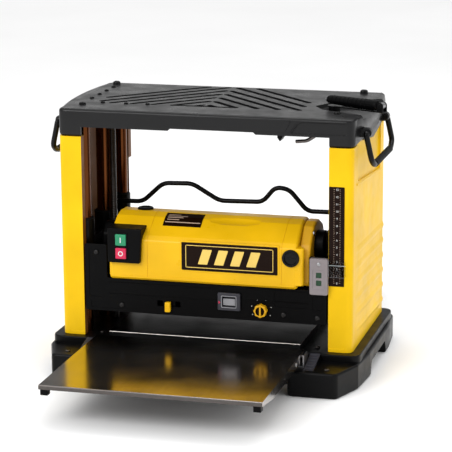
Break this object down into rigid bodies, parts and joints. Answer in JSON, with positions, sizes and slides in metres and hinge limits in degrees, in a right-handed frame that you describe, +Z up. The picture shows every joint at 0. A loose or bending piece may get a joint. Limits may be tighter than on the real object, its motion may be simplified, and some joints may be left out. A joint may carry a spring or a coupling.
{
  "type": "thickness planer",
  "caption": "Portable thickness planer: motor head on steel posts over a polished bed, folding tables, crank and lid with carrying handles",
  "frame": {"origin": "middle of the base's underside, on the bench", "axes": "+X to the right of someone feeding stock at the front, +Y to the back (the feed direction), +Z up"},
  "size_m": [0.6052, 0.964, 0.4936],
  "materials": {
    "black_casting": "satin black paint on a casting",
    "polished_steel": "polished",
    "machined_steel": "machined, slightly oily",
    "bronze": "cast",
    "lid_plastic": "fine moulded grain",
    "black_plastic": "fine moulded grain",
    "black_steel": "satin black powder coat",
    "yellow_plastic": "semi-gloss moulding",
    "yellow_casting": "semi-gloss paint on a casting",
    "rubber_face": "matte",
    "scale_print": "printed strip with pale marks",
    "grey_plastic": "satin",
    "clear_plastic": "clear",
    "green_button": "semi-gloss",
    "red_button": "semi-gloss"
  },
  "bodies": {
    "root": {"base_casting": "black_casting", "bed_plate": "polished_steel", "top_plate": "machined_steel", "top_cover": "lid_plastic", "side_cover_left": "yellow_plastic", "side_cover_right": "yellow_plastic", "post_front_left": "polished_steel", "post_front_right": "polished_steel", "post_rear_left": "polished_steel", "post_rear_right": "polished_steel", "column_left": "polished_steel", "column_right": "polished_steel", "scale_strip": "scale_print", "drive_chain": "machined_steel", "tool_clip": "black_plastic", "hex_wrench": "black_steel", "table_bracket_front_left": "machined_steel", "table_bracket_front_right": "machined_steel", "table_bracket_rear_left": "machined_steel", "table_bracket_rear_right": "machined_steel"},
    "infeed_table": {"infeed_table": "polished_steel"},
    "outfeed_table": {"outfeed_table": "polished_steel"},
    "handle_left": {"carry_handle_left": "black_steel"},
    "handle_right": {"carry_handle_right": "black_steel"},
    "screw_left": {"lift_screw_left": "machined_steel"},
    "crank": {"lift_screw_right": "machined_steel", "crank_arm": "black_steel"},
    "crank_fold": {"crank_spindle": "machined_steel"},
    "crank_knob": {"crank_grip": "black_plastic"},
    "carriage": {"carriage_casting": "black_casting", "front_shroud": "black_plastic", "motor_housing": "yellow_plastic", "motor_end_cap": "yellow_casting", "motor_bearing_cover": "black_plastic", "motor_field": "machined_steel", "belt_cover": "black_plastic", "drive_belt": "rubber_face", "lift_nut_left": "bronze", "lift_nut_right": "bronze", "switch_box": "black_plastic", "brush_cap": "black_plastic", "chip_deflector": "black_plastic", "pointer_bracket": "grey_plastic", "pointer_lens": "clear_plastic", "removal_gauge": "grey_plastic", "cord_gland": "black_plastic"},
    "armature": {"motor_armature": "machined_steel"},
    "cutter": {"cutter_block": "machined_steel", "knife_front": "machined_steel", "knife_rear": "machined_steel"},
    "infeed_roller": {"infeed_roller": "rubber_face"},
    "outfeed_roller": {"outfeed_roller": "rubber_face"},
    "start_button": {"start_button": "green_button"},
    "stop_button": {"stop_button": "red_button"},
    "stop_knob": {"depth_stop_knob": "yellow_plastic"},
    "lock_tab": {"lock_tab": "yellow_plastic"},
    "lock_bar": {"head_lock_bar": "black_steel"},
    "gauge": {"gauge_slider": "grey_plastic"}
  },
  "joints": [
    {"name": "crank_turn", "type": "hinge", "parent": "root", "child": "crank", "pos_m": [0.207, -0.02, 0.4727], "axis": [0, 0, 1], "range_deg": [-6121, 27361]},
    {"name": "carriage_lift", "type": "slide", "parent": "root", "child": "carriage", "axis": [0, 0, 1], "range_m": [-0.0272, 0.1216]},
    {"name": "screw_left_spin", "type": "hinge", "parent": "root", "child": "screw_left", "pos_m": [-0.207, -0.02, 0.4525], "axis": [0, 0, 1], "range_deg": [-6121, 27361]},
    {"name": "grip_fold", "type": "hinge", "parent": "crank", "child": "crank_fold", "pos_m": [0.29973, -0.06128, 0.4844], "axis": [0.4067, 0.9135, 0], "range_deg": [0, 90]},
    {"name": "grip_spin", "type": "hinge", "parent": "crank_fold", "child": "crank_knob", "pos_m": [0.29973, -0.06128, 0.4844], "axis": [0.9135, -0.4067, 0], "continuous": true},
    {"name": "handle_right_swing", "type": "hinge", "parent": "root", "child": "handle_right", "pos_m": [0.281, 0, 0.442], "axis": [0, -1, 0], "range_deg": [0, 95]},
    {"name": "handle_left_swing", "type": "hinge", "parent": "root", "child": "handle_left", "pos_m": [-0.281, 0, 0.442], "axis": [0, 1, 0], "range_deg": [0, 95]},
    {"name": "infeed_fold", "type": "hinge", "parent": "root", "child": "infeed_table", "pos_m": [0, -0.19, 0.0605], "axis": [-1, 0, 0], "range_deg": [0, 90]},
    {"name": "outfeed_fold", "type": "hinge", "parent": "root", "child": "outfeed_table", "pos_m": [0, 0.19, 0.0605], "axis": [1, 0, 0], "range_deg": [0, 90]},
    {"name": "head_lock", "type": "hinge", "parent": "carriage", "child": "lock_bar", "pos_m": [0, 0.035, 0.268], "axis": [-1, 0, 0], "range_deg": [0, 75]},
    {"name": "start_press", "type": "slide", "parent": "carriage", "child": "start_button", "axis": [0, 1, 0], "range_m": [0, 0.003], "stiffness_N_per_m": 300},
    {"name": "stop_press", "type": "slide", "parent": "carriage", "child": "stop_button", "axis": [0, 1, 0], "range_m": [0, 0.003], "stiffness_N_per_m": 300},
    {"name": "depth_stop_turn", "type": "hinge", "parent": "carriage", "child": "stop_knob", "pos_m": [0.1046, -0.146, 0.127], "axis": [0, -1, 0], "range_deg": [0, 300]},
    {"name": "tab_slide", "type": "slide", "parent": "carriage", "child": "lock_tab", "axis": [1, 0, 0], "range_m": [-0.012, 0.01]},
    {"name": "gauge_rise", "type": "slide", "parent": "carriage", "child": "gauge", "axis": [0, 0, 1], "range_m": [0, 0.003], "stiffness_N_per_m": 60},
    {"name": "cutter_spin", "type": "hinge", "parent": "carriage", "child": "cutter", "pos_m": [0, 0, 0.1255], "axis": [1, 0, 0], "continuous": true},
    {"name": "armature_spin", "type": "hinge", "parent": "carriage", "child": "armature", "pos_m": [0, -0.083, 0.2255], "axis": [1, 0, 0], "continuous": true},
    {"name": "infeed_spin", "type": "hinge", "parent": "carriage", "child": "infeed_roller", "pos_m": [0, -0.058, 0.117], "axis": [1, 0, 0], "continuous": true},
    {"name": "outfeed_spin", "type": "hinge", "parent": "carriage", "child": "outfeed_roller", "pos_m": [0, 0.058, 0.117], "axis": [1, 0, 0], "continuous": true}
  ],
  "couplings": [
    {"joint": "crank_turn", "follows": "carriage_lift", "rad_per_m": 3927},
    {"joint": "screw_left_spin", "follows": "carriage_lift", "rad_per_m": 3927},
    {"joint": "armature_spin", "follows": "cutter_spin", "ratio": 1.5833},
    {"joint": "infeed_spin", "follows": "cutter_spin", "ratio": -0.008},
    {"joint": "outfeed_spin", "follows": "cutter_spin", "ratio": -0.008}
  ]
}
